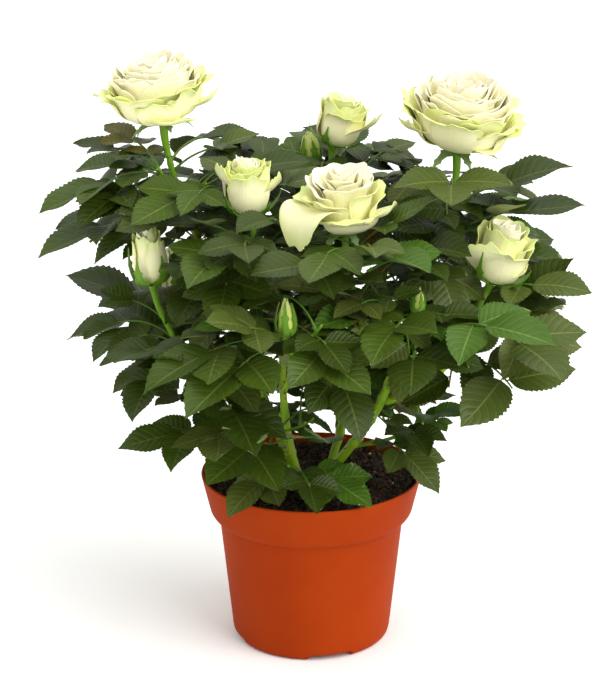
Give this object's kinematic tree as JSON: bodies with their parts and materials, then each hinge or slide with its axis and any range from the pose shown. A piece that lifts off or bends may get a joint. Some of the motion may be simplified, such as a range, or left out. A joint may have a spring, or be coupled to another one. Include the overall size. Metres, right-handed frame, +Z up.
{
  "type": "potted rose bush",
  "caption": "Compact bush rose with cream double blooms and buds, dark toothed pinnate leaves and green canes, growing in compost in a round tapered plastic pot.",
  "frame": {"origin": "on the pot's axis at the underside of its foot ring, which is the middle of the plant's box seen from above", "axes": "+Z up along the pot's axis, X to the right and Y to the back of the side that the picture shows"},
  "size_m": [0.2862, 0.2406, 0.3228],
  "materials": {
    "pot_plastic": "moulded terracotta-orange plastic, satin",
    "compost": "moist dark peat compost, crumbly",
    "green_bark": "smooth yellow-green young bark with small prickles",
    "rose_leaf": "dark green satin leaf, paler beneath",
    "petal": "soft cream petals tinged green outside"
  },
  "bodies": {
    "root": {"pot": "pot_plastic", "soil": "compost", "cane_left": "green_bark", "cane_right": "green_bark", "cane_back_left": "green_bark", "cane_back_right": "green_bark", "bough_left_bud": "green_bark", "bough_left_middle": "green_bark", "bough_front": "green_bark", "bough_right_top": "green_bark", "bough_right_bloom": "green_bark", "bough_centre": "green_bark", "bough_right_bud": "green_bark", "bough_left_top": "green_bark", "bough_back_left": "green_bark", "bough_middle_top": "green_bark", "bough_back": "green_bark", "bough_back_right": "green_bark", "leaves_left_bud": "rose_leaf", "leaves_left_middle": "rose_leaf", "leaves_front": "rose_leaf", "leaves_right_top": "rose_leaf", "leaves_right_bloom": "rose_leaf", "leaves_centre": "rose_leaf", "leaves_right_bud": "rose_leaf", "leaves_left_top": "rose_leaf", "leaves_back_left": "rose_leaf", "leaves_middle_top": "rose_leaf", "leaves_back": "rose_leaf", "leaves_back_right": "rose_leaf", "leaves_inner_left": "rose_leaf", "leaves_inner_right": "rose_leaf", "leaves_low_left": "rose_leaf", "leaves_low_front": "rose_leaf", "leaves_low_right": "rose_leaf", "leaves_low_back": "rose_leaf", "bloom_left_top": "petal", "bloom_right_top": "petal", "bloom_centre": "petal", "bloom_middle_top": "petal", "bloom_left_middle": "petal", "bud_left": "petal", "bloom_right": "petal", "bud_front": "petal", "bud_right": "petal", "bloom_back": "petal", "bud_back_left": "petal", "bud_small": "petal"}
  },
  "joints": []
}
